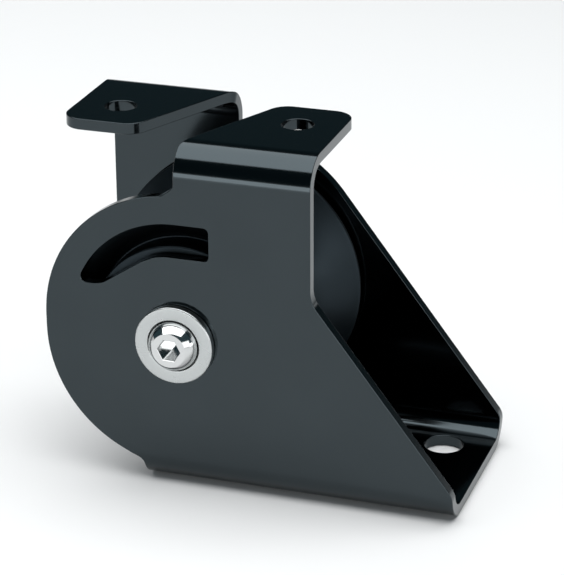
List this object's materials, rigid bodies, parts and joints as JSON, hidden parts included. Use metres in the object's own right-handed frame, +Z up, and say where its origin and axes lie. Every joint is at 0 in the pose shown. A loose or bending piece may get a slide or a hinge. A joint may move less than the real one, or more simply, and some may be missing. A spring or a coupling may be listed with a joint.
{
  "type": "over-the-top block",
  "caption": "Wide-sheave block that leads a line over the top between skewed bolting flanges, in a bracket folded from flat plate.",
  "frame": {"origin": "middle of the block's footprint, on the underside of the floor", "axes": "+X along the block from the round nose to the floor's free end, +Y from the near cheek to the far cheek along the axle, +Z up"},
  "size_m": [0.1178, 0.0692, 0.101],
  "materials": {
    "black_plate": "smooth semi-gloss black coating on stainless plate",
    "black_sheave": "black hard-anodised, satin gloss",
    "bright_steel": "bright stainless steel",
    "axle_steel": "turned stainless steel",
    "bearing_plastic": "filled bearing plastic, matt",
    "cage_plastic": "moulded black plastic, matt",
    "ball_plastic": "white bearing plastic, polished"
  },
  "bodies": {
    "frame": {"bracket": "black_plate", "axle": "axle_steel", "near_side_race": "axle_steel", "far_side_race": "axle_steel", "near_washer": "bright_steel", "far_washer": "bright_steel", "near_screw": "bright_steel", "far_screw": "bright_steel"},
    "sheave": {"sheave": "black_sheave", "sleeve_bearing": "bearing_plastic"},
    "near_balls": {"near_ball_cage": "cage_plastic", "near_ball_01": "ball_plastic", "near_ball_02": "ball_plastic", "near_ball_03": "ball_plastic", "near_ball_04": "ball_plastic", "near_ball_05": "ball_plastic", "near_ball_06": "ball_plastic", "near_ball_07": "ball_plastic", "near_ball_08": "ball_plastic", "near_ball_09": "ball_plastic", "near_ball_10": "ball_plastic"},
    "far_balls": {"far_ball_cage": "cage_plastic", "far_ball_01": "ball_plastic", "far_ball_02": "ball_plastic", "far_ball_03": "ball_plastic", "far_ball_04": "ball_plastic", "far_ball_05": "ball_plastic", "far_ball_06": "ball_plastic", "far_ball_07": "ball_plastic", "far_ball_08": "ball_plastic", "far_ball_09": "ball_plastic", "far_ball_10": "ball_plastic"}
  },
  "joints": [
    {"name": "sheave_spin", "type": "hinge", "parent": "frame", "child": "sheave", "pos_m": [-0.02025, 0, 0.0443], "axis": [0, 1, 0], "continuous": true},
    {"name": "near_balls_roll", "type": "hinge", "parent": "frame", "child": "near_balls", "pos_m": [-0.02025, 0, 0.0443], "axis": [0, 1, 0], "continuous": true},
    {"name": "far_balls_roll", "type": "hinge", "parent": "frame", "child": "far_balls", "pos_m": [-0.02025, 0, 0.0443], "axis": [0, 1, 0], "continuous": true}
  ],
  "couplings": [
    {"joint": "near_balls_roll", "follows": "sheave_spin", "ratio": 0.5},
    {"joint": "far_balls_roll", "follows": "sheave_spin", "ratio": 0.5}
  ]
}
